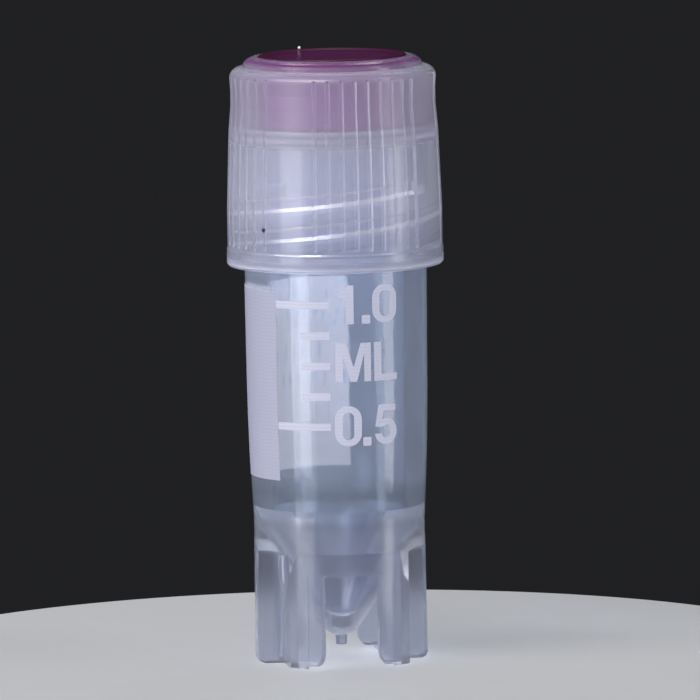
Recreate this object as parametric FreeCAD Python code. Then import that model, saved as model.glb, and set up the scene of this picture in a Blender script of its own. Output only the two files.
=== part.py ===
import FreeCAD, Part
import math
import os

# A 1.2 mL self-standing cryogenic vial. Millimetres, Z up, the feet stand on z = 0.
# Angles are in degrees from +X, counter-clockwise from above.

V = FreeCAD.Vector
Z_AXIS = V(0, 0, 1)

# ---- tube, from the floor up ----
FOOT_HEIGHT = 7.9          # the foot, up to where the tube begins
TUBE_LENGTH = 19.55        # foot to shoulder
NECK_LENGTH = 7.23         # shoulder to rim
TUBE_TOP_RADIUS = 6.09     # just under the shoulder
TUBE_HIGH_RADIUS = 6.03
TUBE_HIGH_RISE = 13.0      # heights above the foot
TUBE_MID_RADIUS = 5.91
TUBE_MID_RISE = 6.1
TUBE_LOW_RADIUS = 5.77
TUBE_LOW_RISE = 3.1
WAIST_RADIUS = 5.68        # the slight waist above the feet
WAIST_RISE = 1.3
SHOULDER_CHAMFER = 0.35
RIM_CHAMFER = 0.2
BORE_LOW_RADIUS = 4.44     # at the inner cone
INNER_CONE_HALF_ANGLE = 28.7
INNER_TIP_RADIUS = 0.9
TIP_WALL = 1.7             # plastic under the lowest point inside
OUTER_TIP_Z = 1.6
OUTER_TIP_RADIUS = 1.63
OUTER_CONE_HALF_ANGLE = 32.1
GATE_RADIUS = 0.42
GATE_LENGTH = 0.6          # how far the gate nub hangs under the tip

# ---- star foot: a slot from front to back and four corner notches leave six legs ----
SLOT_ANGLE = -81.7         # the way the slot runs
SLOT_WIDTH = 3.62
SLOT_HEIGHT = 6.3
SLOT_TOP_ROUND = 0.35
NOTCH_OFFSET = 4.0         # middle of the slot to the flat wall of a notch
NOTCH_HEIGHT = 7.6
NOTCH_CORNER = 0.25
SIDE_LEG_WIDTH = 1.9
SIDE_WALL = 0.8            # plastic between a notch and the hollow
FOOT_RADIUS = 5.77
FOOT_TOP_RADIUS = 5.71
LEG_WALL = 1.08            # radial thickness of the front and back legs
HOLLOW_HEIGHT = 7.7        # ceiling of the space between cone and legs
TOE_CORNER_WIDTH = 0.6     # rounding of a leg's lower corner at the slot, sideways
TOE_CORNER_HEIGHT = 1.15   # the same, upwards
TOE_EDGE = 0.42            # rounding of the lower edge, in and out
STEP_REACH = 1.09          # beside the slot the legs are stepped back this wide
STEP_DEPTH = 0.12
STEP_LIFT = 0.25           # and end this far above the floor

# ---- thread, right-hand, two starts ----
STARTS = 2
LEAD = 4.0
RIDGE_BASE = 0.95          # axial width of a ridge at its root
RIDGE_CREST = 0.50         # and at its crest
THREAD_HEIGHT = 0.45
THREAD_TURNS = 1.0
NECK_RADIUS = 5.58
NECK_WALL = 0.98
THREAD_OVER_SHOULDER = 0.58   # centre of a neck ridge where it starts
THREAD_START_ANGLE = -123.3
CAP_THREAD_LIFT = 0.97     # the cap's ridges start this much further up the same screw
CREST_CLEARANCE = 0.12     # radial, cap crest to neck
THREAD_SINK = 0.12         # how far a ridge is rooted in its wall

# ---- cap ----
CAP_WALL_CLEARANCE = 0.22  # neck crest to the plain inside wall of the cap
CAP_WALL = 0.96            # at the bottom band
SKIRT_DEPTH = 8.75         # mouth to ceiling
BAND_HEIGHT = 1.15
BAND_PROUD = 0.06          # the band stands out past the skirt
PLAIN_HEIGHT = 3.8         # mouth to where the skirt starts to taper
KNEE_INSET = 0.24          # insets are from the band's radius
KNEE_DROP = 4.98           # drops are from the top of the cap
STEP_INSET = 0.40
STEP_DROP = 3.18
SHOULDER_INSET = 0.35
SHOULDER_DROP = 1.38
SHOULDER_ROUND = 0.75
BOSS_HEIGHT = 0.63
BOSS_WALL = 1.03
BOSS_LIP = 0.12            # flat ring left round the well
CEILING = 0.40             # plate between the washer and the well
WELL_DEPTH = 4.73
WELL_RADIUS = 4.95
MOUTH_CHAMFER = 0.25
CEILING_CORNER = 0.25

# ---- grip ribs: four ribbed sectors with plain panels between ----
SECTORS = 4
GROOVES = 9                # grooves in one sector
RIB_PITCH = 7.5
FIRST_GROOVE_ANGLE = -100.5
GROOVE_RADIUS = 0.17       # the grooves are half round
GROOVE_OVER_BAND = 0.25
GROOVE_DROP = 1.13

# ---- colour insert and washer ----
INSERT_CLEARANCE = 0.03
INSERT_PROUD = 0.10        # the disc stands just over the rim of the well
INSERT_PLATE = 0.9
INSERT_WALL = 0.8
INSERT_DISH = 0.18
INSERT_RIM = 0.35
INSERT_EDGE = 0.12         # rounding of the disc's edge
WASHER_THICKNESS = 0.67
WASHER_OVERHANG = 0.25     # past the bore, inwards
WASHER_CLEARANCE = 0.30    # to the cap's inside wall
WASHER_CHAMFER = 0.12
BEAD_HEIGHT = 0.50         # round bead on the washer that holds it in the cap's ceiling
BEAD_WALL = 0.35           # from the well out to the bead
BEAD_CLEARANCE = 0.08      # radial, bead to its groove

# ---- where these put things ----
shoulder_z = FOOT_HEIGHT + TUBE_LENGTH
rim_z = shoulder_z + NECK_LENGTH
neck_crest_radius = NECK_RADIUS + THREAD_HEIGHT
bore_top_radius = NECK_RADIUS - NECK_WALL
inner_tip_z = OUTER_TIP_Z + TIP_WALL
ceiling_z = rim_z + WASHER_THICKNESS
well_floor_z = ceiling_z + CEILING
cap_top_z = well_floor_z + WELL_DEPTH
mouth_z = ceiling_z - SKIRT_DEPTH
cap_inside_radius = neck_crest_radius + CAP_WALL_CLEARANCE
band_radius = cap_inside_radius + CAP_WALL
band_top_z = mouth_z + BAND_HEIGHT
neck_thread_z = shoulder_z + THREAD_OVER_SHOULDER
washer_radius = cap_inside_radius - WASHER_CLEARANCE
bead_inner_radius = WELL_RADIUS + BEAD_WALL
bead_outer_radius = washer_radius - WASHER_CHAMFER
bead_top_z = ceiling_z + BEAD_HEIGHT


def turned(points):
    """A solid turned about Z from (radius, height) points."""
    corners = [V(r, 0, z) for r, z in points]
    wire = Part.makePolygon(corners + [corners[0]])
    return Part.Face(wire).revolve(V(0, 0, 0), Z_AXIS, 360)


def quarter(r, z, width, height, steps):
    """Points of a quarter ellipse, from (r, z) inwards and up."""
    out = []
    for i in range(steps + 1):
        a = math.pi / 2 * i / steps
        out.append((r - width * (1 - math.cos(a)), z + height * math.sin(a)))
    return out


def smooth_turned(curve, closing):
    """A solid turned about Z whose long side is one smooth curve."""
    spline = Part.BSplineCurve()
    spline.interpolate([V(r, 0, z) for r, z in curve])
    corners = [V(r, 0, z) for r, z in [curve[-1]] + closing + [curve[0]]]
    wire = Part.Wire([spline.toShape()] + Part.makePolygon(corners).Edges)
    return Part.Face(wire).revolve(V(0, 0, 0), Z_AXIS, 360)


def cone_touch(tip_z, tip_radius, half_angle):
    """Where a cone's straight wall leaves its rounded tip."""
    a = math.radians(half_angle)
    return tip_radius * math.cos(a), tip_z + tip_radius * (1 - math.sin(a))


def round_cone(tip_z, tip_radius, half_angle, top, closing):
    """A cone standing on its rounded tip; top is the end of its straight wall."""
    touch_r, touch_z = cone_touch(tip_z, tip_radius, half_angle)
    half = math.radians(90 - half_angle) / 2
    middle = V(tip_radius * math.sin(half), 0, tip_z + tip_radius * (1 - math.cos(half)))
    tip = Part.Arc(V(0, 0, tip_z), middle, V(touch_r, 0, touch_z))
    wall = [(touch_r, touch_z), top] + closing + [(0, tip_z)]
    edges = Part.makePolygon([V(r, 0, z) for r, z in wall]).Edges
    return Part.Face(Part.Wire([tip.toShape()] + edges)).revolve(V(0, 0, 0), Z_AXIS, 360)


def thread(root_radius, crest_radius, start_z, start_angle):
    """One helical ridge, trapezoid in section, rooted in the wall it stands on."""
    outward = 1.0 if crest_radius > root_radius else -1.0
    rooted = root_radius - outward * THREAD_SINK
    slope = (RIDGE_BASE - RIDGE_CREST) / 2 / abs(crest_radius - root_radius)
    half_root = RIDGE_BASE / 2 + slope * THREAD_SINK
    half_crest = RIDGE_CREST / 2
    helix = Part.makeHelix(LEAD, LEAD * THREAD_TURNS, rooted)
    profile = Part.makePolygon([V(rooted, 0, -half_root), V(crest_radius, 0, -half_crest),
                                V(crest_radius, 0, half_crest), V(rooted, 0, half_root),
                                V(rooted, 0, -half_root)])
    ridge = Part.Wire(helix).makePipeShell([profile], True, True)
    ridge.rotate(V(0, 0, 0), Z_AXIS, start_angle)
    ridge.translate(V(0, 0, start_z))
    return ridge


def around(shape, count, first, step):
    """Copies of a shape turned about Z."""
    out = []
    for i in range(count):
        copy = shape.copy()
        copy.rotate(V(0, 0, 0), Z_AXIS, first + i * step)
        out.append(copy)
    return out


def foot_slot():
    """The slot through the foot, along X, flared where the legs' toes are rounded."""
    w = SLOT_WIDTH / 2
    low = w + TOE_CORNER_WIDTH
    top = SLOT_HEIGHT
    r = SLOT_TOP_ROUND
    toe = STEP_LIFT
    x = -(FOOT_RADIUS + 1)
    edges = []
    for s in (1, -1):
        corner = Part.BezierCurve()
        corner.setPoles([V(x, s * w, toe + TOE_CORNER_HEIGHT), V(x, s * w, toe), V(x, s * low, toe)])
        crown = Part.BezierCurve()
        crown.setPoles([V(x, s * w, top - r), V(x, s * w, top), V(x, s * (w - r), top)])
        edges.append(corner.toShape())
        edges.append(crown.toShape())
        edges.append(Part.makeLine(V(x, s * w, toe + TOE_CORNER_HEIGHT), V(x, s * w, top - r)))
        edges.append(Part.makeLine(V(x, s * low, toe), V(x, s * low, -1)))
    edges.append(Part.makeLine(V(x, low, -1), V(x, -low, -1)))
    edges.append(Part.makeLine(V(x, w - r, top), V(x, -(w - r), top)))
    outline = Part.Wire(Part.__sortEdges__(edges))
    return Part.Face(outline).extrude(V(-2 * x, 0, 0))


def leg_steps():
    """What the shallow steps beside the slot take off the legs' outside and toes."""
    reach = FOOT_RADIUS + 1
    half = SLOT_WIDTH / 2 + STEP_REACH
    slab = Part.makeBox(2 * reach, 2 * half, SLOT_HEIGHT + 1, V(-reach, -half, -1))
    core = turned([(0, -2), (FOOT_RADIUS - STEP_DEPTH, -2), (FOOT_RADIUS - STEP_DEPTH, 0),
                   (FOOT_TOP_RADIUS - STEP_DEPTH, FOOT_HEIGHT), (0, FOOT_HEIGHT)])
    toe = Part.makeBox(2 * reach, 2 * half, STEP_LIFT + 1, V(-reach, -half, -1))
    return slab.cut(core).fuse(toe)


def foot_notches():
    """The four notches that leave a leg at each side."""
    reach = FOOT_RADIUS + 1
    x = SIDE_LEG_WIDTH / 2
    y = NOTCH_OFFSET
    box = Part.makeBox(reach, reach, NOTCH_HEIGHT + 1, V(x, y, -1))
    inner = []
    for edge in box.Edges:
        middle = edge.CenterOfMass
        if abs(middle.x - x) < 0.001 and abs(middle.y - y) < 0.001:
            inner.append(edge)
    notch = box.makeFillet(NOTCH_CORNER, inner)
    out = []
    for shape in (notch, notch.mirror(V(0, 0, 0), V(1, 0, 0))):
        out.append(shape)
        out.append(shape.mirror(V(0, 0, 0), V(0, 1, 0)))
    return out


def make_vial():
    # Outer wall: foot, waist, gently tapering tube, shoulder and neck.
    e = TOE_EDGE
    foot = turned([(0, 0), (FOOT_RADIUS - e, 0), (FOOT_RADIUS - 0.29 * e, 0.29 * e),
                   (FOOT_RADIUS, e), (FOOT_TOP_RADIUS, FOOT_HEIGHT), (0, FOOT_HEIGHT)])
    wall = [(FOOT_TOP_RADIUS, FOOT_HEIGHT), (WAIST_RADIUS, FOOT_HEIGHT + WAIST_RISE),
            (TUBE_LOW_RADIUS, FOOT_HEIGHT + TUBE_LOW_RISE),
            (TUBE_MID_RADIUS, FOOT_HEIGHT + TUBE_MID_RISE),
            (TUBE_HIGH_RADIUS, FOOT_HEIGHT + TUBE_HIGH_RISE),
            (TUBE_TOP_RADIUS, shoulder_z - SHOULDER_CHAMFER)]
    tube = smooth_turned(wall, [(NECK_RADIUS, shoulder_z), (0, shoulder_z), (0, FOOT_HEIGHT)])
    neck = turned([(0, shoulder_z), (NECK_RADIUS, shoulder_z), (NECK_RADIUS, rim_z - RIM_CHAMFER),
                   (NECK_RADIUS - RIM_CHAMFER, rim_z), (0, rim_z)])
    body = foot.fuse([tube, neck])

    # The cone, and the space between it and the legs.
    r = FOOT_RADIUS - LEG_WALL
    half = NOTCH_OFFSET - SIDE_WALL
    hollow = turned([(0, -1), (r + e / 2, -1), (r + e / 2, 0), (r, e), (r, HOLLOW_HEIGHT),
                     (0, HOLLOW_HEIGHT)])
    hollow = hollow.common(Part.makeBox(4 * r, 2 * half, HOLLOW_HEIGHT + 2, V(-2 * r, -half, -1)))
    touch_r, touch_z = cone_touch(OUTER_TIP_Z, OUTER_TIP_RADIUS, OUTER_CONE_HALF_ANGLE)
    over = HOLLOW_HEIGHT + 1
    over_r = touch_r + (over - touch_z) * math.tan(math.radians(OUTER_CONE_HALF_ANGLE))
    cone = round_cone(OUTER_TIP_Z, OUTER_TIP_RADIUS, OUTER_CONE_HALF_ANGLE, (over_r, over), [(0, over)])

    # The slot and the notches that part the six legs.
    gaps = [hollow.cut(cone), foot_slot().cut(cone), leg_steps()] + foot_notches()
    for gap in gaps:
        gap.rotate(V(0, 0, 0), Z_AXIS, SLOT_ANGLE)
    body = body.cut(gaps)

    # Bore and inner cone.
    touch_r, touch_z = cone_touch(inner_tip_z, INNER_TIP_RADIUS, INNER_CONE_HALF_ANGLE)
    slope = math.tan(math.radians(INNER_CONE_HALF_ANGLE))
    cone_top_z = touch_z + (BORE_LOW_RADIUS - touch_r) / slope
    bore = [(bore_top_radius, rim_z - RIM_CHAMFER), (bore_top_radius + RIM_CHAMFER, rim_z),
            (bore_top_radius + RIM_CHAMFER, rim_z + 1), (0, rim_z + 1)]
    cavity = round_cone(inner_tip_z, INNER_TIP_RADIUS, INNER_CONE_HALF_ANGLE,
                        (BORE_LOW_RADIUS, cone_top_z), bore)
    body = body.cut(cavity)

    # Gate nub under the tip.
    nub_z = OUTER_TIP_Z - GATE_LENGTH
    nub = Part.makeCone(GATE_RADIUS * 0.85, GATE_RADIUS, GATE_LENGTH + 0.4, V(0, 0, nub_z))

    # External thread.
    ridges = []
    for i in range(STARTS):
        start = THREAD_START_ANGLE + i * 360.0 / STARTS
        ridges.append(thread(NECK_RADIUS, neck_crest_radius, neck_thread_z, start))
    return body.fuse([nub] + ridges).removeSplitter()


def make_cap():
    # Outer wall from the mouth up to the boss.
    plain_radius = band_radius - BAND_PROUD
    plain_top_z = mouth_z + PLAIN_HEIGHT
    knee = (band_radius - KNEE_INSET, cap_top_z - KNEE_DROP)
    step = (band_radius - STEP_INSET, cap_top_z - STEP_DROP)
    shoulder_radius = band_radius - SHOULDER_INSET
    shoulder_low_z = cap_top_z - SHOULDER_DROP
    boss_z = cap_top_z - BOSS_HEIGHT
    boss_radius = WELL_RADIUS + BOSS_WALL
    outer = [(band_radius - 0.12, mouth_z), (band_radius, mouth_z + 0.15), (band_radius, band_top_z),
             (plain_radius, band_top_z + 0.12), (plain_radius, plain_top_z), knee, step,
             (step[0], step[1] + 1.0)]
    shoulder = quarter(shoulder_radius, shoulder_low_z, SHOULDER_ROUND, boss_z - 0.05 - shoulder_low_z, 6)
    boss = quarter(boss_radius, boss_z, BOSS_WALL - BOSS_LIP, BOSS_HEIGHT, 6)
    well = [(WELL_RADIUS + 0.05, cap_top_z), (WELL_RADIUS, cap_top_z - 0.05),
            (WELL_RADIUS, well_floor_z), (0, well_floor_z)]
    groove_inner = bead_inner_radius - BEAD_CLEARANCE
    groove_outer = bead_outer_radius + BEAD_CLEARANCE
    under = [(0, ceiling_z), (groove_inner, ceiling_z), (groove_inner, bead_top_z),
             (groove_outer, bead_top_z), (groove_outer, ceiling_z),
             (cap_inside_radius - CEILING_CORNER, ceiling_z),
             (cap_inside_radius, ceiling_z - CEILING_CORNER)]
    mouth = [(cap_inside_radius, mouth_z + MOUTH_CHAMFER), (cap_inside_radius + MOUTH_CHAMFER, mouth_z)]
    body = turned(outer + shoulder + boss + well + under + mouth)

    # Grip grooves, half round and round-ended, following the wall.
    low_z = band_top_z + GROOVE_OVER_BAND + GROOVE_RADIUS
    high_z = cap_top_z - GROOVE_DROP - GROOVE_RADIUS
    path = [V(plain_radius, 0, low_z), V(plain_radius, 0, plain_top_z), V(knee[0], 0, knee[1]),
            V(step[0], 0, step[1]), V(step[0], 0, high_z)]
    nose = Part.Wire(Part.makeCircle(GROOVE_RADIUS, path[0], Z_AXIS))
    rod = Part.makePolygon(path).makePipeShell([nose], True, False, 1)
    ends = [Part.makeSphere(GROOVE_RADIUS, end) for end in (path[0], path[-1])]
    groove = rod.fuse(ends).removeSplitter()
    grooves = []
    for s in range(SECTORS):
        first = FIRST_GROOVE_ANGLE + s * 360.0 / SECTORS
        grooves = grooves + around(groove, GROOVES, first, RIB_PITCH)
    body = body.cut(grooves)

    # Internal thread, half a pitch off the neck's.
    crest = NECK_RADIUS + CREST_CLEARANCE
    start_z = neck_thread_z - LEAD / STARTS / 2 + CAP_THREAD_LIFT
    ridges = []
    for i in range(STARTS):
        start = THREAD_START_ANGLE + 360.0 * (CAP_THREAD_LIFT / LEAD + i / STARTS)
        ridges.append(thread(cap_inside_radius, crest, start_z, start))
    return body.fuse(ridges).removeSplitter()


def make_insert():
    r = WELL_RADIUS - INSERT_CLEARANCE
    top = cap_top_z + INSERT_PROUD
    dish_r = r - INSERT_RIM
    e = INSERT_EDGE
    points = [(r - 0.25, well_floor_z), (r, well_floor_z + 0.25), (r, top - e),
              (r - 0.29 * e, top - 0.29 * e), (r - e, top), (dish_r, top), (dish_r - 0.3, top - 0.6 * INSERT_DISH),
              (dish_r - 0.9, top - INSERT_DISH), (0, top - INSERT_DISH)]
    under = top - INSERT_PLATE
    points = points + [(0, under), (r - INSERT_WALL, under), (r - INSERT_WALL, well_floor_z)]
    return turned(points)


def make_washer():
    inner = bore_top_radius - WASHER_OVERHANG
    outer = washer_radius
    c = WASHER_CHAMFER
    return turned([(inner, rim_z + c), (inner + c, rim_z), (outer - c, rim_z), (outer, rim_z + c),
                   (outer, ceiling_z - c), (bead_outer_radius, ceiling_z),
                   (bead_outer_radius, bead_top_z), (bead_inner_radius, bead_top_z),
                   (bead_inner_radius, ceiling_z), (inner + c, ceiling_z), (inner, ceiling_z - c)])


os.makedirs("parts", exist_ok=True)
nodes = {
    "vial": make_vial(),
    "cap": make_cap(),
    "colour_insert": make_insert(),
    "seal_washer": make_washer(),
}
for name, shape in nodes.items():
    solid = shape.Solids[0]
    print(name, "solids", len(shape.Solids), "valid", shape.isValid(), "volume %.2f" % shape.Volume)
    solid.exportStep("parts/%s.step" % name)
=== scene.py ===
import math

import bmesh
import bpy
from bpy.props import FloatProperty, FloatVectorProperty, IntProperty, PointerProperty
from mathutils import Matrix, Vector
from mathutils.bvhtree import BVHTree


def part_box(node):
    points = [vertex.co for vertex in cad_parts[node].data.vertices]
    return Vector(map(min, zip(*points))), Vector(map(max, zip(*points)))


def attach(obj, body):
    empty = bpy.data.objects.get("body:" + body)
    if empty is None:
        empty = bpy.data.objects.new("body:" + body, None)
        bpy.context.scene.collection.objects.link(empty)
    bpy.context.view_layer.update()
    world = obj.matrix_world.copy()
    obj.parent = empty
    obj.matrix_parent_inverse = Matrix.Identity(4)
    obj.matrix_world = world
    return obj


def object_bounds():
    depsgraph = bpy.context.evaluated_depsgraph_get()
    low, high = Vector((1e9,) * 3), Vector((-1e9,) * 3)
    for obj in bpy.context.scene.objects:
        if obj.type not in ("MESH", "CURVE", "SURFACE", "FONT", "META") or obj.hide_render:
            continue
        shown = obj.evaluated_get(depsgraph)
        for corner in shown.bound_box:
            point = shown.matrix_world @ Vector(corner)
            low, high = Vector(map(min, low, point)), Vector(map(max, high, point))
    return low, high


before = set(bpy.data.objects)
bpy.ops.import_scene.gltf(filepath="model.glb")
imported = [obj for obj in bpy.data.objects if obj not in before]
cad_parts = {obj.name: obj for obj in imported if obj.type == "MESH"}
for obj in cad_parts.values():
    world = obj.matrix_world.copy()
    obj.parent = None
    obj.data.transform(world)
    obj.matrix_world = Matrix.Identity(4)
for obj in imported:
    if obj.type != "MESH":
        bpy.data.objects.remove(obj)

bl_info = {
    "name": "Cryovial finish",
    "version": (1, 0, 0),
    "blender": (4, 5, 0),
    "location": "3D View > Sidebar > Cryovial",
    "description": "Moulded plastics, screen print and studio for a self-standing cryovial",
    "category": "Object",
}

MM = 0.001
CAD_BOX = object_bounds()

# ---- plastics ----
POLYPROPYLENE_IOR = 1.49
SILICONE_IOR = 1.41
RELIEF_DEPTH = 0.01 * MM     # from the top to the bottom of a moulded skin
STREAK_FINENESS = 900.0      # noise scales, in cycles a metre
CLOUD_FINENESS = 220.0
GRAIN_FINENESS = 9000.0
WANDER_FINENESS = 700.0      # how the screen's rows wander
STREAK_STRETCH = (1.0, 1.0, 0.06)
CLOUD_STRETCH = (1.0, 1.0, 0.7)
NO_STRETCH = (1.0, 1.0, 1.0)
TUBE_SHINE = 0.72            # reflection levels; 0.5 is what the IOR itself gives, so the
CAP_SHINE = 0.15             # tube reflects more than plain plastic, cap and insert less
INSERT_SHINE = 0.08

# ---- where the tube's roughness and painted shade change, as heights over the floor ----
# the foot is matt, and its darker colour is painted shade
FOOT_SOFTNESS = 0.5 * MM
FOOT_ROUGHER = 0.12
# painted shade where the bore meets the cone lies in this zone
SEAT_LOW = 9.2 * MM          # the bore's end, inside the tube
SEAT_HIGH = 11.9 * MM
SEAT_RADIUS = 5.2 * MM
SEAT_SOFTNESS = 0.8 * MM

# ---- where the cap's painted light, painted shade and roughness change, measured from the box of the insert ----
# painted purple light of the insert, seen through the cap wall beside it, lies in this zone
GLOW_BELOW = 0.05 * MM       # the wall beside the insert: under its skirt,
GLOW_UNDER_TOP = 0.25 * MM   # under its top
GLOW_ROUND = 0.9 * MM        # and out from its side
GLOW_SOFTNESS = 0.2 * MM
# painted purple light of the insert, seen through the boss, lies in this zone
BOSS_LOW = 0.95 * MM         # the boss: both under the insert's top
BOSS_HIGH = 0.10 * MM
BOSS_ROUND = 0.95 * MM
BOSS_SOFTNESS = 0.45 * MM
MILKY_BELOW = 0.9 * MM       # the thick upper part is milkier than the skirt and the boss
MILKY_UNDER_TOP = 0.9 * MM
MILKY_SOFTNESS = 0.4 * MM
MILKY_ROUGHER = 0.14
# painted shade and more roughness on the plate lie in this zone
PLATE_LOW = 0.75 * MM        # the plate: both under the insert's skirt
PLATE_HIGH = 0.05 * MM
PLATE_SOFTNESS = 0.3 * MM
PLATE_ROUGHER = 0.1

# ---- and measured up from the cap's mouth ----
# painted shade near the mouth lies in this zone, darker towards the mouth
MOUTH_HEIGHT = 2.8 * MM
MOUTH_SOFTNESS = 2.0 * MM
LIP_HEIGHT = 0.6 * MM
LIP_SOFTNESS = 0.4 * MM
LIP_ROUGHER = 0.2
SPECK_INSET = 0.12 * MM      # the speck lies this far inside the band's radius
SPECK_COLOUR = (0.01, 0.01, 0.012)

# ---- screen print; angles are in degrees from the front, to the right ----
PRINT_RADIUS = 6.0 * MM      # widths on the flat screen are angles times this radius
INK_SUNK = 0.004 * MM        # how far the ink's back lies in the wall
SCREEN_PITCH = 0.24          # millimetres from row to row
COLUMN_STEP = 0.35 * MM      # the sheets bend round the tube in flats this wide
NUMERAL_STEP = 0.3 * MM
ROW_STEP = 2.0 * MM          # and follow its draft in flats this high
WALL_SEARCH = 20.0 * MM
WALL_TRIES = 72
LONG_MARK_START = -41.0
SHORT_MARK_START = -23.3
MARK_END = -4.4
MARK_CORNER = 0.03 * MM
STROKE = 0.52 * MM
NUMERAL_ROWS = (             # foot of the row; then sign, left and right edge, height, in mm
    (23.14, (("1", 0.6, 11.0, 2.58), (".", 16.2, 21.8, 0.58), ("0", 23.3, 41.0, 2.58))),
    (19.30, (("M", -0.9, 21.9, 2.58), ("L", 24.2, 41.0, 2.58))),
    (15.00, (("0", -1.9, 15.4, 2.68), (".", 16.2, 21.8, 0.58), ("5", 24.2, 40.6, 2.68))),
)

# ---- grain of dust ----
GRAIN_COLOUR = (0.9, 0.9, 0.88)
GRAIN_X = -2.2 * MM
GRAIN_Y = 4.1 * MM
GRAIN_BANDS = 6
GRAIN_SIDES = 9

# ---- studio ----
LAMP_DISTANCE = 0.60
LAMPS = (                    # name, power, azimuth, elevation, width, height
    ("key_lamp", "key_power", -47.5, 2.0, 0.27, 0.32),
    ("top_lamp", "top_power", -42.0, 46.0, 0.64, 0.07),
    ("back_lamp", "back_power", 180.0, 55.0, 0.50, 0.10),
    ("side_lamp", "side_power", 70.0, 18.3, 0.17, 0.70),
)
FLOOR_THICKNESS = 1.2 * MM
FLOOR_EDGE = 0.3 * MM
FLOOR_SIDES = 128
SENSOR_WIDTH = 36.0
NEAREST_SEEN = 10.0 * MM
AIM_RIGHT = 0.88 * MM
AIM_UP = 0.46 * MM
CAMERA_ROLL = math.radians(-0.9)


# ---------------------------------------------------------------- properties

def colour_prop(name, description, default):
    return FloatVectorProperty(name=name, description=description, subtype="COLOR",
                               size=3, min=0.0, max=1.0, default=default)


def length_prop(name, description, default):
    return FloatProperty(name=name, description=description, subtype="DISTANCE",
                         unit="LENGTH", precision=5, default=default)


def angle_prop(name, description, degrees):
    return FloatProperty(name=name, description=description, subtype="ANGLE",
                         unit="ROTATION", default=math.radians(degrees))


def share_prop(name, description, default):
    return FloatProperty(name=name, description=description, subtype="FACTOR",
                         min=0.0, max=1.0, default=default)


def power_prop(name, description, default):
    return FloatProperty(name=name, description=description, subtype="POWER",
                         unit="POWER", min=0.0, default=default)


class CryovialPlastics(bpy.types.PropertyGroup):
    tube_colour: colour_prop(
        "Tube", "Natural polypropylene of the tube", (0.745, 0.82, 0.99))
    tube_clear: share_prop(
        "Tube clarity", "How much light passes the tube's wall", 0.88)
    # painted shade, darker than the tube, where the bore meets the cone
    seat_painted_shade: colour_prop(
        "Bore's end", "The same plastic where the bore meets the cone", (0.33, 0.38, 0.49))
    # painted shade on the star foot, darker than the tube; the foot's matt finish is real
    foot_painted_shade: colour_prop(
        "Foot", "The same plastic in the matt star foot", (0.48, 0.51, 0.62))
    foot_top: length_prop(
        "Foot's top", "The star foot is matt up to this height", 9.8 * MM)
    wall_tint: colour_prop(
        "Wall tint", "What each face of a wall lets through to the inside", (0.92, 0.93, 0.95))
    cap_colour: colour_prop(
        "Cap", "Milky polypropylene of the cap", (0.69, 0.685, 0.79))
    cap_clear: share_prop(
        "Cap clarity", "How much light passes the cap's wall", 0.78)
    # painted shade on the plate over the rim, darker than the cap
    plate_painted_shade: colour_prop(
        "Cap's plate", "The plate over the rim, seen on edge", (0.46, 0.45, 0.56))
    # painted shade on the skirt, darker towards its open end
    mouth_painted_shade: colour_prop(
        "Cap's mouth", "The skirt near its open end", (0.52, 0.53, 0.63))
    # painted purple light of the insert, seen through the cap wall beside it; not a dye of the cap
    painted_insert_glow: colour_prop(
        "Glow", "Cap wall beside the insert, tinted by it", (0.39, 0.18, 0.46))
    # painted purple light of the insert, seen through the thin boss; not a dye of the cap
    boss_painted_glow: colour_prop(
        "Boss", "Thin boss round the insert, full of its colour", (0.29, 0.065, 0.28))
    speck_angle: angle_prop(
        "Speck angle", "Where round the skirt the black speck is, from +X", -131.6)
    speck_height: length_prop(
        "Speck height", "Height of the black speck in the skirt", 29.4 * MM)
    speck_radius: length_prop(
        "Speck radius", "Size of the black speck", 0.15 * MM)
    insert_colour: colour_prop(
        "Insert", "Dyed plastic of the insert's thick top", (0.050, 0.007, 0.032))
    # painted light: the same dye, lighter where light shines through the thin skirt
    insert_skirt_painted_glow: colour_prop(
        "Insert skirt", "The same plastic where the wall is thin", (0.17, 0.02, 0.18))
    grain_size: length_prop(
        "Dust grain", "Width of the grain of dust on the insert", 0.20 * MM)
    washer_colour: colour_prop(
        "Washer", "Silicone of the seal washer", (0.27, 0.26, 0.31))


class CryovialPrint(bpy.types.PropertyGroup):
    ink_colour: colour_prop(
        "Ink", "White screen ink", (0.60, 0.60, 0.75))
    patch_colour: colour_prop(
        "Writing patch", "Thin matt ink of the patch", (0.44, 0.44, 0.58))
    # painted light: the patch's back, lighter than its ink and warm to offset the tube's blue in
    # front of it
    back_painted_light: colour_prop(
        "Ink's back", "Wet side of the patch, seen through the tube", (1.0, 0.85, 0.69))
    ink_height: length_prop(
        "Ink height", "How far the ink stands on the wall", 0.015 * MM)
    patch_start: angle_prop(
        "Patch start", "Edge of the patch beside the marks, from +X", -131.5)
    patch_width: angle_prop(
        "Patch width", "How far the patch goes round the tube", 148.0)
    patch_low: length_prop(
        "Patch foot", "Lower edge of the patch", 12.6 * MM)
    patch_high: length_prop(
        "Patch head", "Upper edge of the patch", 25.27 * MM)
    patch_corner: length_prop(
        "Patch corner", "Cut at the patch's far upper corner", 0.15 * MM)
    mark_low: length_prop(
        "Half mark", "Height of the 0.5 mark", 16.3 * MM)
    mark_high: length_prop(
        "Full mark", "Height of the 1.0 mark", 24.4 * MM)
    mark_gaps: IntProperty(
        name="Mark steps", description="Steps between the two long marks", default=4, min=1)
    mark_width: length_prop(
        "Mark thickness", "Height of one mark's line", 0.5 * MM)


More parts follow.
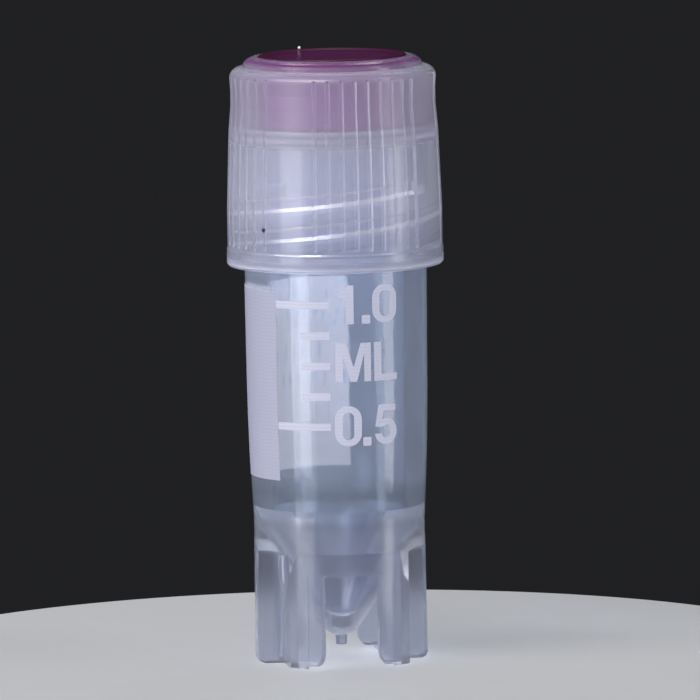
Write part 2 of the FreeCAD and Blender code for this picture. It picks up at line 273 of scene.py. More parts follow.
class CryovialStudio(bpy.types.PropertyGroup):
    floor_colour: colour_prop(
        "Floor", "Pale floor plate", (0.42, 0.42, 0.43))
    floor_radius: length_prop(
        "Floor radius", "Radius of the floor plate", 34.0 * MM)
    backdrop_colour: colour_prop(
        "Surroundings", "Dark room behind the plate", (0.0145, 0.0148, 0.0165))
    fill_colour: colour_prop(
        "Fill colour", "Colour of the room's even light", (0.90, 0.96, 1.0))
    fill: FloatProperty(
        name="Fill", description="Strength of the room's even light", default=0.43, min=0.0)
    key_power: power_prop(
        "Key", "Large soft lamp at the left", 0.80)
    side_power: power_prop(
        "Side", "Tall soft lamp at the right", 1.45)
    top_power: power_prop(
        "Top", "Long narrow lamp above and to the left", 3.9)
    back_power: power_prop(
        "Back", "Long narrow lamp above and behind", 0.6)
    camera_distance: length_prop(
        "Camera distance", "From the lens to the vial", 0.7)
    camera_lens: FloatProperty(
        name="Lens", description="Focal length in millimetres", default=540.0, min=1.0)
    camera_height: angle_prop(
        "Camera height", "Angle above the horizontal", 6.5)


# ---------------------------------------------------------------- node helpers

def new_material(name):
    """A material with nothing in it but a Principled shader and its output."""
    mat = bpy.data.materials.new(name)
    mat.use_nodes = True
    nodes = mat.node_tree.nodes
    for node in list(nodes):
        nodes.remove(node)
    out = nodes.new("ShaderNodeOutputMaterial")
    shader = nodes.new("ShaderNodeBsdfPrincipled")
    mat.node_tree.links.new(shader.outputs["BSDF"], out.inputs["Surface"])
    return mat, shader


def let_light_in(mat, shader, tint):
    """Lamps reach what is inside through the wall, each face taking its tint."""
    nodes, links = mat.node_tree.nodes, mat.node_tree.links
    out = next(node for node in nodes if node.type == "OUTPUT_MATERIAL")
    clear = nodes.new("ShaderNodeBsdfTransparent")
    clear.inputs["Color"].default_value = (*tint, 1.0)
    path = nodes.new("ShaderNodeLightPath")
    mix = nodes.new("ShaderNodeMixShader")
    links.new(path.outputs["Is Shadow Ray"], mix.inputs[0])
    links.new(shader.outputs["BSDF"], mix.inputs[1])
    links.new(clear.outputs["BSDF"], mix.inputs[2])
    links.new(mix.outputs[0], out.inputs["Surface"])


def new_group(name, inputs, outputs):
    """A node group with named sockets; numbers unless a kind is given."""
    group = bpy.data.node_groups.new(name, "ShaderNodeTree")
    for side, sockets in (("INPUT", inputs), ("OUTPUT", outputs)):
        for label, kind in sockets:
            group.interface.new_socket(name=label, in_out=side, socket_type="NodeSocket" + kind)
    return group, group.nodes.new("NodeGroupInput"), group.nodes.new("NodeGroupOutput")


def sums(tree):
    """Returns a function that adds a Math node for numbers or outputs."""
    def maths(operation, a, b=0.0):
        node = tree.nodes.new("ShaderNodeMath")
        node.operation = operation
        for i, value in enumerate((a, b)):
            if isinstance(value, (int, float)):
                node.inputs[i].default_value = value
            else:
                tree.links.new(value, node.inputs[i])
        return node.outputs[0]

    return maths


def place_group(mat, name, build, values):
    """Puts a node group in a material with its own values; the first use builds it."""
    node = mat.node_tree.nodes.new("ShaderNodeGroup")
    node.node_tree = bpy.data.node_groups.get(name) or build(name)
    for label, value in values.items():
        node.inputs[label].default_value = value
    return node


def darken(tree, colour, level):
    """Multiplies a colour by a number."""
    tint = tree.nodes.new("ShaderNodeMix")
    tint.data_type = "RGBA"
    tint.blend_type = "MULTIPLY"
    tint.inputs[0].default_value = 1.0
    tree.links.new(colour, tint.inputs[6])
    tree.links.new(level, tint.inputs[7])
    return tint.outputs[2]


def skin_group(name):
    """Moulded skin: flow streaks along the height, soft clouds and a fine grain."""
    group, gin, gout = new_group(
        name,
        (("Colour", "Color"), ("Streaks", "Float"), ("Clouds", "Float"),
         ("Base Roughness", "Float"), ("Roughness Spread", "Float")),
        (("Colour", "Color"), ("Roughness", "Float"), ("Height", "Float")))
    nodes, links = group.nodes, group.links
    place = nodes.new("ShaderNodeTexCoord")
    maths = sums(group)

    def noise(scale, detail, stretch):
        mapping = nodes.new("ShaderNodeMapping")
        mapping.inputs["Scale"].default_value = stretch
        links.new(place.outputs["Object"], mapping.inputs["Vector"])
        tex = nodes.new("ShaderNodeTexNoise")
        tex.inputs["Scale"].default_value = scale
        tex.inputs["Detail"].default_value = detail
        links.new(mapping.outputs["Vector"], tex.inputs["Vector"])
        return tex.outputs["Fac"]

    streak = noise(STREAK_FINENESS, 2.0, STREAK_STRETCH)
    cloud = noise(CLOUD_FINENESS, 3.0, CLOUD_STRETCH)
    grain = noise(GRAIN_FINENESS, 2.0, NO_STRETCH)
    fade = maths("ADD", maths("MULTIPLY", streak, gin.outputs["Streaks"]),
                 maths("MULTIPLY", cloud, gin.outputs["Clouds"]))
    rough = maths("ADD", gin.outputs["Base Roughness"],
                  maths("MULTIPLY", maths("SUBTRACT", cloud, 0.5),
                        gin.outputs["Roughness Spread"]))
    height = maths("ADD", maths("MULTIPLY", streak, 0.7), maths("MULTIPLY", grain, 0.3))
    links.new(darken(group, gin.outputs["Colour"], maths("SUBTRACT", 1.0, fade)),
              gout.inputs["Colour"])
    links.new(rough, gout.inputs["Roughness"])
    links.new(height, gout.inputs["Height"])
    return group


def skin(mat, shader, colour, streaks, clouds, roughness, spread, bump):
    """Puts the moulded skin in a material, with its own values."""
    tree = mat.node_tree
    node = place_group(mat, "MouldedSkin", skin_group, {
        "Colour": (*colour, 1.0), "Streaks": streaks, "Clouds": clouds,
        "Base Roughness": roughness, "Roughness Spread": spread})
    relief = tree.nodes.new("ShaderNodeBump")
    relief.inputs["Strength"].default_value = bump
    relief.inputs["Distance"].default_value = RELIEF_DEPTH
    tree.links.new(node.outputs["Height"], relief.inputs["Height"])
    tree.links.new(node.outputs["Colour"], shader.inputs["Base Color"])
    tree.links.new(node.outputs["Roughness"], shader.inputs["Roughness"])
    tree.links.new(relief.outputs["Normal"], shader.inputs["Normal"])


def screen_group(name):
    """Screen-printed ink: fine, slightly wavy rows left by the mesh, thinner between them."""
    group, gin, gout = new_group(
        name,
        (("Row Spacing", "Float"), ("Wave", "Float"), ("Cover", "Float"), ("Thin", "Float")),
        (("Rows", "Float"), ("Cover", "Float")))
    nodes, links = group.nodes, group.links
    maths = sums(group)
    place = nodes.new("ShaderNodeTexCoord")
    split = nodes.new("ShaderNodeSeparateXYZ")
    links.new(place.outputs["Object"], split.inputs[0])
    wander = nodes.new("ShaderNodeTexNoise")
    wander.inputs["Scale"].default_value = WANDER_FINENESS
    wander.inputs["Detail"].default_value = 2.0
    links.new(place.outputs["Object"], wander.inputs["Vector"])
    height = maths("MULTIPLY", split.outputs["Z"], 1.0 / MM)
    turns = maths("ADD", maths("DIVIDE", height, gin.outputs["Row Spacing"]),
                  maths("MULTIPLY", wander.outputs["Fac"], gin.outputs["Wave"]))
    wave = maths("SINE", maths("MULTIPLY", turns, 2 * math.pi))
    rows = maths("ADD", maths("MULTIPLY", wave, 0.5), 0.5)
    links.new(rows, gout.inputs["Rows"])
    links.new(maths("SUBTRACT", gin.outputs["Cover"], maths("MULTIPLY", rows, gin.outputs["Thin"])),
              gout.inputs["Cover"])
    return group


def print_rows(mat, shader, wave, cover, thin, darker):
    """Lays the screen's rows over an ink: a little darker and thinner in each."""
    tree = mat.node_tree
    node = place_group(mat, "ScreenRows", screen_group, {
        "Row Spacing": SCREEN_PITCH, "Wave": wave, "Cover": cover, "Thin": thin})
    shade = tree.nodes.new("ShaderNodeMapRange")
    shade.inputs["To Min"].default_value = 1.0
    shade.inputs["To Max"].default_value = 1.0 - darker
    tree.links.new(node.outputs["Rows"], shade.inputs["Value"])
    plain = shader.inputs["Base Color"].links[0].from_socket
    tree.links.new(darken(tree, plain, shade.outputs["Result"]), shader.inputs["Base Color"])
    tree.links.new(node.outputs["Cover"], shader.inputs["Alpha"])


def zone_group(name):
    """A soft-edged zone about the tube's axis: between two heights and inside a radius."""
    group, gin, gout = new_group(
        name,
        (("Low", "Float"), ("High", "Float"), ("Radius", "Float"), ("Softness", "Float")),
        (("Mask", "Float"),))
    nodes, links = group.nodes, group.links
    maths = sums(group)
    place = nodes.new("ShaderNodeTexCoord")
    split = nodes.new("ShaderNodeSeparateXYZ")
    links.new(place.outputs["Object"], split.inputs[0])
    x, y, z = (split.outputs[axis] for axis in "XYZ")

    def inside(room):
        """1 where there is room, falling to 0 over the softness."""
        share = maths("ADD", maths("DIVIDE", room, gin.outputs["Softness"]), 0.5)
        return maths("MINIMUM", maths("MAXIMUM", share, 0.0), 1.0)

    reach = maths("SQRT", maths("ADD", maths("MULTIPLY", x, x), maths("MULTIPLY", y, y)))
    tall = maths("MULTIPLY", inside(maths("SUBTRACT", z, gin.outputs["Low"])),
                 inside(maths("SUBTRACT", gin.outputs["High"], z)))
    links.new(maths("MULTIPLY", tall, inside(maths("SUBTRACT", gin.outputs["Radius"], reach))),
              gout.inputs["Mask"])
    return group


def spot(mat, centre, radius):
    """Mask of a small round spot on a surface."""
    tree = mat.node_tree
    place = tree.nodes.new("ShaderNodeTexCoord")
    reach = tree.nodes.new("ShaderNodeVectorMath")
    reach.operation = "DISTANCE"
    reach.inputs[1].default_value = centre
    fade = tree.nodes.new("ShaderNodeMapRange")
    fade.inputs["From Min"].default_value = 0.7 * radius
    fade.inputs["From Max"].default_value = 1.2 * radius
    fade.inputs["To Min"].default_value = 1.0
    fade.inputs["To Max"].default_value = 0.0
    tree.links.new(place.outputs["Object"], reach.inputs[0])
    tree.links.new(reach.outputs["Value"], fade.inputs["Value"])
    return fade.outputs["Result"]


def recolour(mat, shader, mask, colour):
    """Blends another colour over the base colour where the mask is 1."""
    tree = mat.node_tree
    plain = shader.inputs["Base Color"].links[0].from_socket
    blend = tree.nodes.new("ShaderNodeMix")
    blend.data_type = "RGBA"
    blend.inputs[7].default_value = (*colour, 1.0)
    tree.links.new(mask, blend.inputs[0])
    tree.links.new(plain, blend.inputs[6])
    tree.links.new(blend.outputs[2], shader.inputs["Base Color"])


def roughen(mat, shader, mask, more):
    """Adds to the roughness where the mask is 1."""
    tree = mat.node_tree
    plain = shader.inputs["Roughness"].links[0].from_socket
    add = tree.nodes.new("ShaderNodeMath")
    add.operation = "MULTIPLY_ADD"
    add.inputs[1].default_value = more
    tree.links.new(mask, add.inputs[0])
    tree.links.new(plain, add.inputs[2])
    tree.links.new(add.outputs[0], shader.inputs["Roughness"])


def finish_zone(mat, shader, low, high, radius, softness, colour=None, rougher=0.0):
    """Gives a round zone about the axis its own colour, more roughness, or both."""
    mask = place_group(mat, "RoundZone", zone_group, {
        "Low": low, "High": high, "Radius": radius, "Softness": softness}).outputs["Mask"]
    if colour is not None:
        recolour(mat, shader, mask, colour)
    if rougher:
        roughen(mat, shader, mask, rougher)


def dress(node_name, mat):
    """Gives a CAD node its finished material."""
    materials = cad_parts[node_name].data.materials
    materials.clear()
    materials.append(mat)


# ---------------------------------------------------------------- plastics

class CRYOVIAL_OT_vial(bpy.types.Operator):
    """Natural polypropylene for the tube, cone, thread and star foot, with painted shade at the
    bore's end and on the foot
    """
    bl_idname = "cryovial.vial"
    bl_label = "Vial plastic"

    def execute(self, context):
        own = context.scene.cryovial_plastics
        mat, shader = new_material("natural_polypropylene")
        shader.inputs["IOR"].default_value = POLYPROPYLENE_IOR
        shader.inputs["Transmission Weight"].default_value = own.tube_clear
        shader.inputs["Specular IOR Level"].default_value = TUBE_SHINE
        skin(mat, shader, own.tube_colour, streaks=0.08, clouds=0.10, roughness=0.08,
             spread=0.04, bump=0.15)
        low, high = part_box("vial")
        # matt foot, with painted shade in place of the tube's colour
        finish_zone(mat, shader, low[2] - MM, own.foot_top, 2 * high[0], FOOT_SOFTNESS,
                    own.foot_painted_shade, FOOT_ROUGHER)
        # painted shade where the bore meets the cone
        finish_zone(mat, shader, SEAT_LOW, SEAT_HIGH, SEAT_RADIUS, SEAT_SOFTNESS,
                    own.seat_painted_shade)
        let_light_in(mat, shader, own.wall_tint)
        dress("vial", mat)
        return {"FINISHED"}


class CRYOVIAL_OT_cap(bpy.types.Operator):
    """Milky polypropylene for the screw cap, with the insert's purple light painted round it and
    painted shade on the plate and mouth
    """
    bl_idname = "cryovial.cap"
    bl_label = "Cap plastic"

    def execute(self, context):
        own = context.scene.cryovial_plastics
        mat, shader = new_material("milky_polypropylene")
        shader.inputs["IOR"].default_value = POLYPROPYLENE_IOR
        shader.inputs["Transmission Weight"].default_value = own.cap_clear
        shader.inputs["Specular IOR Level"].default_value = CAP_SHINE
        skin(mat, shader, own.cap_colour, streaks=0.06, clouds=0.10, roughness=0.17,
             spread=0.06, bump=0.15)

        low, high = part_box("colour_insert")
        skirt_end, top, side = low[2], high[2], high[0]
        everywhere = 2 * side
        # painted purple light of the insert, seen through the cap wall beside it
        finish_zone(mat, shader, skirt_end - GLOW_BELOW, top - GLOW_UNDER_TOP,
                    side + GLOW_ROUND, GLOW_SOFTNESS, own.painted_insert_glow)
        # painted purple light of the insert, seen through the thin boss round it
        finish_zone(mat, shader, top - BOSS_LOW, top - BOSS_HIGH,
                    side + BOSS_ROUND, BOSS_SOFTNESS, own.boss_painted_glow)
        finish_zone(mat, shader, skirt_end - MILKY_BELOW, top - MILKY_UNDER_TOP,
                    everywhere, MILKY_SOFTNESS, rougher=MILKY_ROUGHER)
        # painted shade on the plate over the rim, with more roughness
        finish_zone(mat, shader, skirt_end - PLATE_LOW, skirt_end - PLATE_HIGH,
                    everywhere, PLATE_SOFTNESS, own.plate_painted_shade, PLATE_ROUGHER)

        low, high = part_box("cap")
        mouth, band = low[2], high[0]
        everywhere = 2 * band
        # painted shade on the skirt, darker towards the mouth
        finish_zone(mat, shader, mouth - MM, mouth + MOUTH_HEIGHT, everywhere, MOUTH_SOFTNESS,
                    own.mouth_painted_shade)
        finish_zone(mat, shader, mouth - MM, mouth + LIP_HEIGHT, everywhere, LIP_SOFTNESS,
                    rougher=LIP_ROUGHER)

        out = band - SPECK_INSET
        centre = (out * math.cos(own.speck_angle), out * math.sin(own.speck_angle),
                  own.speck_height)
        recolour(mat, shader, spot(mat, centre, own.speck_radius), SPECK_COLOUR)
        let_light_in(mat, shader, own.wall_tint)
        dress("cap", mat)
        return {"FINISHED"}


class CRYOVIAL_OT_insert(bpy.types.Operator):
    """Dyed, polished plastic for the colour insert, painted lighter on the thin skirt for light
    shining through it
    """
    bl_idname = "cryovial.insert"
    bl_label = "Colour insert"

    def execute(self, context):
        own = context.scene.cryovial_plastics
        mat, shader = new_material("purple_insert_plastic")
        shader.inputs["IOR"].default_value = POLYPROPYLENE_IOR
        shader.inputs["Specular IOR Level"].default_value = INSERT_SHINE
        skin(mat, shader, own.insert_colour, streaks=0.06, clouds=0.12, roughness=0.30,
             spread=0.06, bump=0.1)
        low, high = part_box("colour_insert")
        # painted light on the thin skirt, lighter where light shines through it
        finish_zone(mat, shader, low[2] - MM, high[2] - GLOW_UNDER_TOP, 2 * high[0],
                    GLOW_SOFTNESS, own.insert_skirt_painted_glow)
        dress("colour_insert", mat)
        return {"FINISHED"}


class CRYOVIAL_OT_washer(bpy.types.Operator):
    """Soft silicone for the seal washer, thin enough for the lamps to shine through"""
    bl_idname = "cryovial.washer"
    bl_label = "Seal washer"

    def execute(self, context):
        own = context.scene.cryovial_plastics
        mat, shader = new_material("washer_silicone")
        shader.inputs["IOR"].default_value = SILICONE_IOR
        skin(mat, shader, own.washer_colour, streaks=0.03, clouds=0.10, roughness=0.30,
             spread=0.10, bump=0.2)
        let_light_in(mat, shader, own.wall_tint)
        dress("seal_washer", mat)
        return {"FINISHED"}


# ---------------------------------------------------------------- screen print

def wall_finder():
    """Returns a function giving the tube's outside radius at a height.
    The mesh has flat faces, so the farthest of its points all round is the true wall."""
    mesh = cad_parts["vial"].data
    tree = BVHTree.FromPolygons([v.co for v in mesh.vertices],
                                [p.vertices for p in mesh.polygons])
    known = {}

    def reach(angle, z):
        out = Vector((math.cos(angle), math.sin(angle), 0.0))
        start = out * WALL_SEARCH + Vector((0.0, 0.0, z))
        hit = tree.ray_cast(start, -out, WALL_SEARCH)[0]
        return math.hypot(hit.x, hit.y) if hit is not None else 0.0

    def radius(z):
        key = round(z / MM, 3)
        if key not in known:
            known[key] = max(reach(2 * math.pi * i / WALL_TRIES, z) for i in range(WALL_TRIES))
        if known[key] == 0.0:
            raise RuntimeError("the tube has no wall at height %.4f" % z)
        return known[key]

    return radius


def across(degrees):
    """Place on the flat screen of an angle from the front."""
    return (math.radians(degrees) - math.pi / 2) * PRINT_RADIUS


def arc(cx, cy, rx, ry, start, end, steps):
    """Points along an ellipse's arc, angles in degrees."""
    out = []
    for i in range(steps + 1):
        a = math.radians(start + (end - start) * i / steps)
        out.append((cx + rx * math.cos(a), cy + ry * math.sin(a)))
    return out


def rounded_box(x0, y0, x1, y1, r, steps=6):
    """Corner-rounded rectangle, anticlockwise."""
    return (arc(x1 - r, y0 + r, r, r, -90, 0, steps) + arc(x1 - r, y1 - r, r, r, 0, 90, steps)
            + arc(x0 + r, y1 - r, r, r, 90, 180, steps)
            + arc(x0 + r, y0 + r, r, r, 180, 270, steps))


def glyph(sign, w, h, s):
    """Loops of one bold sign, w wide and h high with strokes s thick."""
    if sign == "0":
        thin = s * 0.8
        return [rounded_box(0, 0, w, h, w * 0.48, 8),
                rounded_box(s, thin, w - s, h - thin, (w - 2 * s) * 0.48, 8)]
    if sign == "1":
        return [[(w - s, 0), (w, 0), (w, h), (w - s * 0.72, h), (w - s * 1.25, h * 0.885),
                 (0, h * 0.80), (0, h * 0.665), (w - s, h * 0.70)]]
    if sign == ".":
        return [rounded_box(0, 0, w, h, w * 0.12, 3)]
    if sign == "L":
        return [[(0, 0), (w, 0), (w, s * 0.85), (s, s * 0.85), (s, h), (0, h)]]
    if sign == "M":
        m = w / 2
        return [[(0, 0), (s * 0.9, 0), (s * 0.9, h * 0.72), (m - s * 0.42, 0), (m + s * 0.42, 0),
                 (w - s * 0.9, h * 0.72), (w - s * 0.9, 0), (w, 0), (w, h), (w - s * 1.35, h),
                 (m, h * 0.36), (s * 1.35, h), (0, h)]]
    if sign == "5":
        bowl = h * 0.33
        thin = s * 0.82
        outer = arc(w / 2, bowl, w / 2, bowl, -172, 118, 18)
        inner = arc(w / 2, bowl, w / 2 - s, bowl - thin, 125, -165, 16)
        top = [(s * 1.02, h * 0.60), (s * 1.22, h - thin), (w * 0.94, h - thin),
               (w * 0.94, h), (w * 0.16, h), (w * 0.02, h * 0.46), (s * 0.98, h * 0.44)]
        return [outer + top + inner]
    raise ValueError("no drawing for %r" % sign)


def slice_up(bm, axis, step):
    """Cuts a flat sheet across one axis at even steps, so that it can bend."""
    normal = Vector((0.0, 0.0, 0.0))
    normal[axis] = 1.0
    low = min(v.co[axis] for v in bm.verts)
    high = max(v.co[axis] for v in bm.verts)
    for i in range(1, int((high - low) / step) + 1):
        geom = bm.verts[:] + bm.edges[:] + bm.faces[:]
        bmesh.ops.bisect_plane(bm, geom=geom, plane_co=normal * (low + i * step), plane_no=normal)


def print_sheet(name, shapes, radius, height, mats, step):
    """Closed thin sheets of ink on the tube, from lists of flat loops.
    A second material goes on the side against the wall."""
    whole = bmesh.new()
    for loops in shapes:
        bm = bmesh.new()
        for loop in loops:
            verts = [bm.verts.new((x, y, 0.0)) for x, y in loop]
            for a, b in zip(verts, verts[1:] + verts[:1]):
                bm.edges.new((a, b))
        bmesh.ops.triangle_fill(bm, use_beauty=True, edges=bm.edges[:])
        slice_up(bm, 0, step)
        slice_up(bm, 1, ROW_STEP)
        front = bmesh.ops.extrude_face_region(bm, geom=bm.faces[:], use_keep_orig=True)
        for item in front["geom"]:
            if isinstance(item, bmesh.types.BMVert):
                item.co.z = 1.0
        for face in bm.faces:
            if len(mats) > 1 and all(v.co.z < 0.5 for v in face.verts):
                face.material_index = 1
        for v in bm.verts:
            a = v.co.x / PRINT_RADIUS
            r = radius(v.co.y) + (height if v.co.z > 0.5 else -INK_SUNK)
            v.co = Vector((r * math.cos(a), r * math.sin(a), v.co.y))
        bmesh.ops.recalc_face_normals(bm, faces=bm.faces[:])
        part = bpy.data.meshes.new("part")
        bm.to_mesh(part)
        bm.free()
        whole.from_mesh(part)
        bpy.data.meshes.remove(part)
    obj = add_piece(name, whole, mats)
    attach(obj, "vial_body")


def add_piece(name, bm, mats):
    """Turns a finished mesh into an object of the scene."""
    mesh = bpy.data.meshes.new(name)
    bm.to_mesh(mesh)
    bm.free()
    for mat in mats:
        mesh.materials.append(mat)
    obj = bpy.data.objects.new(name, mesh)
    bpy.context.scene.collection.objects.link(obj)
    return obj


class CRYOVIAL_OT_marks(bpy.types.Operator):
    """White graduation marks and numerals, printed on the tube"""
    bl_idname = "cryovial.marks"
    bl_label = "Graduation print"

    def execute(self, context):
        own = context.scene.cryovial_print
        mat, shader = new_material("white_screen_ink")
        skin(mat, shader, own.ink_colour, streaks=0.02, clouds=0.10, roughness=0.38,
             spread=0.1, bump=0.2)
        print_rows(mat, shader, wave=0.8, cover=0.94, thin=0.06, darker=0.02)
        radius = wall_finder()

        lines = []
        half = own.mark_width / 2
        for i in range(own.mark_gaps + 1):
            z = own.mark_low + (own.mark_high - own.mark_low) * i / own.mark_gaps
            start = LONG_MARK_START if i in (0, own.mark_gaps) else SHORT_MARK_START
            lines.append([rounded_box(across(start), z - half, across(MARK_END), z + half,
                                      MARK_CORNER, 2)])
        print_sheet("graduation_lines", lines, radius, own.ink_height, [mat], COLUMN_STEP)

        signs = []
        for foot, row in NUMERAL_ROWS:
            for sign, left, right, high in row:
                width = across(right) - across(left)
                loops = glyph(sign, width, high * MM, STROKE)
                signs.append([[(across(left) + x, foot * MM + y) for x, y in loop]
                              for loop in loops])
        print_sheet("graduation_numerals", signs, radius, own.ink_height, [mat], NUMERAL_STEP)
        return {"FINISHED"}


class CRYOVIAL_OT_patch(bpy.types.Operator):
    """Matt white patch for writing on, round the left and back of the tube, its back painted
    lighter and warm as light seen through the tube
    """
    bl_idname = "cryovial.patch"
    bl_label = "Writing patch"

    def execute(self, context):
        own = context.scene.cryovial_print
        mat, shader = new_material("writing_patch_ink")
        skin(mat, shader, own.patch_colour, streaks=0.02, clouds=0.12, roughness=0.5,
             spread=0.1, bump=0.2)
        print_rows(mat, shader, wave=1.2, cover=0.94, thin=0.045, darker=0.017)
        back, shader = new_material("writing_patch_back")
        # the patch's back: painted light, lighter and warm to offset the tube's blue in front of it
        skin(back, shader, own.back_painted_light, streaks=0.02, clouds=0.12, roughness=0.5,
             spread=0.1, bump=0.2)
        near = own.patch_start * PRINT_RADIUS
        far = near - own.patch_width * PRINT_RADIUS
        cut = own.patch_corner
        loop = [(far, own.patch_low), (near, own.patch_low), (near, own.patch_high),
                (far + cut, own.patch_high), (far, own.patch_high - cut)]
        print_sheet("writing_patch", [[loop]], wall_finder(), own.ink_height, [mat, back],
                    COLUMN_STEP)
        return {"FINISHED"}


# ---------------------------------------------------------------- dust

class CRYOVIAL_OT_dust(bpy.types.Operator):
    """A white grain of dust lying on the rim of the insert"""
    bl_idname = "cryovial.dust"
    bl_label = "Dust grain"

    def execute(self, context):
        own = context.scene.cryovial_plastics
        mat, shader = new_material("white_dust")
        skin(mat, shader, GRAIN_COLOUR, streaks=0.05, clouds=0.2, roughness=0.7,
             spread=0.1, bump=0.2)
        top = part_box("colour_insert")[1][2]
        size = own.grain_size
        bm = bmesh.new()
        rings = []
        for i in range(1, GRAIN_BANDS):
            down = math.pi * i / GRAIN_BANDS
            ring = []
            for j in range(GRAIN_SIDES):
                a = 2 * math.pi * j / GRAIN_SIDES
                lumps = 1.0 + 0.18 * math.sin(3 * a + 2 * i) + 0.12 * math.cos(5 * a - i)
                r = size / 2 * lumps
                ring.append(bm.verts.new((GRAIN_X + r * math.sin(down) * math.cos(a),
                                          GRAIN_Y + r * math.sin(down) * math.sin(a),
                                          top + 0.4 * size + r * math.cos(down))))
            rings.append(ring)
        head = bm.verts.new((GRAIN_X, GRAIN_Y, top + 0.95 * size))
        base = bm.verts.new((GRAIN_X, GRAIN_Y, top - 0.05 * size))
        for j in range(GRAIN_SIDES):
            k = (j + 1) % GRAIN_SIDES
            bm.faces.new((head, rings[0][j], rings[0][k]))
            bm.faces.new((base, rings[-1][k], rings[-1][j]))
            for upper, lower in zip(rings, rings[1:]):
                bm.faces.new((upper[j], lower[j], lower[k], upper[k]))
        bmesh.ops.recalc_face_normals(bm, faces=bm.faces[:])
        for face in bm.faces:
            face.smooth = True
        grain = add_piece("dust_grain", bm, [mat])
        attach(grain, "cap_body")
        return {"FINISHED"}


# ---------------------------------------------------------------- studio

def floor_plate(radius, mat):
    """Round plate with a softened edge, its top at height 0."""
    edge = FLOOR_EDGE
    profile = [(radius - edge, 0.0), (radius - 0.3 * edge, -0.3 * edge),
               (radius, -edge), (radius, -FLOOR_THICKNESS)]
    bm = bmesh.new()
    top = bm.verts.new((0.0, 0.0, 0.0))
    rings = []
    for r, z in profile:
        turns = (2 * math.pi * i / FLOOR_SIDES for i in range(FLOOR_SIDES))
        rings.append([bm.verts.new((r * math.cos(a), r * math.sin(a), z)) for a in turns])
    bottom = bm.verts.new((0.0, 0.0, -FLOOR_THICKNESS))
    for i in range(FLOOR_SIDES):
        j = (i + 1) % FLOOR_SIDES
        bm.faces.new((top, rings[0][i], rings[0][j]))
        for upper, lower in zip(rings, rings[1:]):
            bm.faces.new((upper[i], upper[j], lower[j], lower[i]))
        bm.faces.new((rings[-1][i], rings[-1][j], bottom))
    bmesh.ops.recalc_face_normals(bm, faces=bm.faces[:])
    return add_piece("floor", bm, [mat])


def lamp(name, azimuth, elevation, width, height, watts, aim):
    """A soft lamp; azimuth is measured from the camera's side, to the right."""
    data = bpy.data.lights.new(name, "AREA")
    data.shape = "RECTANGLE"
    data.size = width
    data.size_y = height
    data.energy = watts
    obj = bpy.data.objects.new(name, data)
    a = math.radians(azimuth) - math.pi / 2
    e = math.radians(elevation)
    way = Vector((math.cos(a) * math.cos(e), math.sin(a) * math.cos(e), math.sin(e)))
    obj.location = aim + way * LAMP_DISTANCE
    obj.rotation_euler = way.to_track_quat("Z", "Y").to_euler()
    obj.visible_camera = False
    bpy.context.scene.collection.objects.link(obj)


def surroundings(colour, fill_colour, fill):
    """A dark room that lights the matt surfaces evenly without showing in the glossy ones."""
    world = bpy.data.worlds.new("studio_room")
    bpy.context.scene.world = world
    world.use_nodes = True
    nodes, links = world.node_tree.nodes, world.node_tree.links
    for node in list(nodes):
        nodes.remove(node)
    out = nodes.new("ShaderNodeOutputWorld")
    seen = nodes.new("ShaderNodeBackground")
    seen.inputs["Color"].default_value = (*colour, 1.0)
    light = nodes.new("ShaderNodeBackground")
    light.inputs["Color"].default_value = (*fill_colour, 1.0)
    light.inputs["Strength"].default_value = fill
    path = nodes.new("ShaderNodeLightPath")
    scattered = nodes.new("ShaderNodeMath")
    scattered.operation = "GREATER_THAN"
    scattered.inputs[1].default_value = 0.5
    links.new(path.outputs["Diffuse Depth"], scattered.inputs[0])
    mix = nodes.new("ShaderNodeMixShader")
    links.new(scattered.outputs[0], mix.inputs[0])
    links.new(seen.outputs[0], mix.inputs[1])
    links.new(light.outputs[0], mix.inputs[2])
    links.new(mix.outputs[0], out.inputs["Surface"])


def camera(own, middle):
    """A long lens in front of the vial, a little above it."""
    data = bpy.data.cameras.new("camera")
    data.lens = own.camera_lens
    data.sensor_width = SENSOR_WIDTH
    data.clip_start = NEAREST_SEEN
    data.dof.use_dof = False
    obj = bpy.data.objects.new("camera", data)
    bpy.context.scene.collection.objects.link(obj)
    e = own.camera_height
    back = Vector((0.0, -math.cos(e), math.sin(e)))
    up = Vector((0.0, math.sin(e), math.cos(e)))
    aim = middle + Vector((AIM_RIGHT, 0.0, 0.0)) + up * AIM_UP
    turn = back.to_track_quat("Z", "Y").to_matrix() @ Matrix.Rotation(CAMERA_ROLL, 3, "Z")
    obj.matrix_world = Matrix.Translation(aim + back * own.camera_distance) @ turn.to_4x4()
    bpy.context.scene.camera = obj


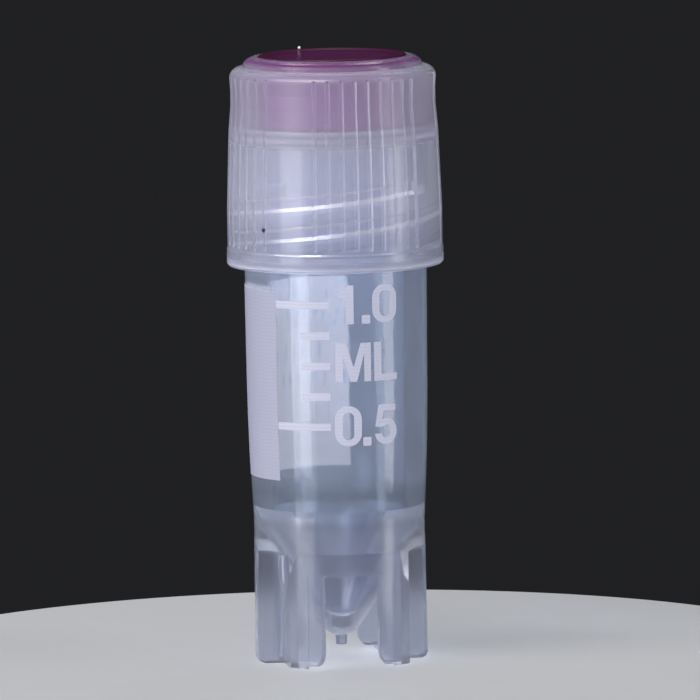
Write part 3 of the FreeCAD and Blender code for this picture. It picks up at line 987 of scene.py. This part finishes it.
class CRYOVIAL_OT_stage(bpy.types.Operator):
    """Pale floor plate, soft lamps, dark room and the camera"""
    bl_idname = "cryovial.stage"
    bl_label = "Studio"

    def execute(self, context):
        own = context.scene.cryovial_studio
        context.scene.view_settings.view_transform = "Standard"
        mat, shader = new_material("pale_floor")
        skin(mat, shader, own.floor_colour, streaks=0.0, clouds=0.04, roughness=0.6,
             spread=0.05, bump=0.05)
        floor = floor_plate(own.floor_radius, mat)
        middle = Vector((0.0, 0.0, (CAD_BOX[0][2] + CAD_BOX[1][2]) / 2))
        for name, power, azimuth, elevation, width, height in LAMPS:
            lamp(name, azimuth, elevation, width, height, getattr(own, power), middle)
        surroundings(own.backdrop_colour, own.fill_colour, own.fill)
        camera(own, middle)
        return {"FINISHED"}


# ---------------------------------------------------------------- panel and registration

OPERATORS = (CRYOVIAL_OT_vial, CRYOVIAL_OT_cap, CRYOVIAL_OT_insert, CRYOVIAL_OT_washer,
             CRYOVIAL_OT_marks, CRYOVIAL_OT_patch, CRYOVIAL_OT_dust, CRYOVIAL_OT_stage)
GROUPS = (("cryovial_plastics", CryovialPlastics), ("cryovial_print", CryovialPrint),
          ("cryovial_studio", CryovialStudio))


class CRYOVIAL_PT_panel(bpy.types.Panel):
    """Sizes, colours and steps of the cryovial"""
    bl_label = "Cryovial"
    bl_idname = "CRYOVIAL_PT_panel"
    bl_space_type = "VIEW_3D"
    bl_region_type = "UI"
    bl_category = "Cryovial"

    def draw(self, context):
        layout = self.layout
        for prop, group in GROUPS:
            own = getattr(context.scene, prop)
            box = layout.box()
            for key in group.__annotations__:
                box.prop(own, key)
        for operator in OPERATORS:
            layout.operator(operator.bl_idname)


def register():
    for prop, group in GROUPS:
        bpy.utils.register_class(group)
        setattr(bpy.types.Scene, prop, PointerProperty(type=group))
    for cls in OPERATORS + (CRYOVIAL_PT_panel,):
        bpy.utils.register_class(cls)


def unregister():
    for cls in reversed(OPERATORS + (CRYOVIAL_PT_panel,)):
        bpy.utils.unregister_class(cls)
    for prop, group in reversed(GROUPS):
        delattr(bpy.types.Scene, prop)
        bpy.utils.unregister_class(group)


def main():
    register()
    bpy.ops.cryovial.stage()
    bpy.ops.cryovial.vial()
    bpy.ops.cryovial.cap()
    bpy.ops.cryovial.insert()
    bpy.ops.cryovial.washer()
    bpy.ops.cryovial.marks()
    bpy.ops.cryovial.patch()
    bpy.ops.cryovial.dust()


if __name__ == "__main__":
    main()
